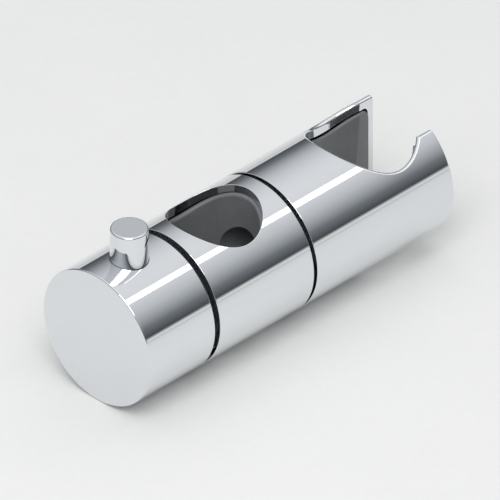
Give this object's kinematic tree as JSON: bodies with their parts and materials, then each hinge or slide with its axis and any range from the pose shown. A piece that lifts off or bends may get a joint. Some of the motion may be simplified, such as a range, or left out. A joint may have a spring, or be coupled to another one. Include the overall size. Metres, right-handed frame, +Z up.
{
  "type": "shower rail slider",
  "caption": "Round shower rail slider: a barrel across the rail with a clamp knob, a short lever pin and a swivelling holder with a tapered handset seat and a hose slot.",
  "frame": {"origin": "middle of the rail bore, on the barrel's axis", "axes": "+X along the barrel from the clamp knob to the handset holder, +Z up along the rail"},
  "size_m": [0.0968, 0.034, 0.0423],
  "materials": {
    "plated_shell": "polished chrome plate on brass",
    "plated_pin": "turned and chrome plated",
    "moulded_hub": "moulded acetal",
    "moulded_core": "moulded acetal",
    "moulded_liner": "moulded acetal",
    "pad_plastic": "moulded acetal, natural white",
    "slip_plastic": "moulded acetal, natural white",
    "stainless_screw": "cold formed",
    "stainless_washer": "stamped",
    "spring_steel": "hardened and tempered",
    "turned_brass": "turned",
    "ring_rubber": "moulded nitrile rubber"
  },
  "bodies": {
    "body": {"body_sleeve": "plated_shell", "body_core": "moulded_core", "clamp_insert": "turned_brass", "neck_ring": "ring_rubber", "pivot_bush": "slip_plastic", "thrust_washer": "stainless_washer", "disc_spring_inner": "spring_steel", "disc_spring_outer": "spring_steel", "friction_ring": "slip_plastic", "pivot_ring": "ring_rubber"},
    "pad": {"clamp_pad": "pad_plastic"},
    "knob": {"knob_shell": "plated_shell", "knob_hub": "moulded_hub", "lever_pin": "plated_pin", "clamp_screw": "stainless_screw"},
    "holder": {"holder_shell": "plated_shell", "holder_liner": "moulded_liner", "pivot_insert": "turned_brass", "pivot_screw": "stainless_screw", "pivot_washer": "stainless_washer"}
  },
  "joints": [
    {"name": "pad_slide", "type": "slide", "parent": "body", "child": "pad", "axis": [1, 0, 0], "range_m": [-0.0003125, 0.0003125]},
    {"name": "knob_turn", "type": "hinge", "parent": "pad", "child": "knob", "pos_m": [-0.02693, 0, 0], "axis": [1, 0, 0], "range_deg": [-90, 90]},
    {"name": "holder_tilt", "type": "hinge", "parent": "body", "child": "holder", "pos_m": [0.0303, 0, 0], "axis": [1, 0, 0], "continuous": true}
  ],
  "couplings": [
    {"joint": "knob_turn", "follows": "pad_slide", "rad_per_m": 5026.5}
  ]
}
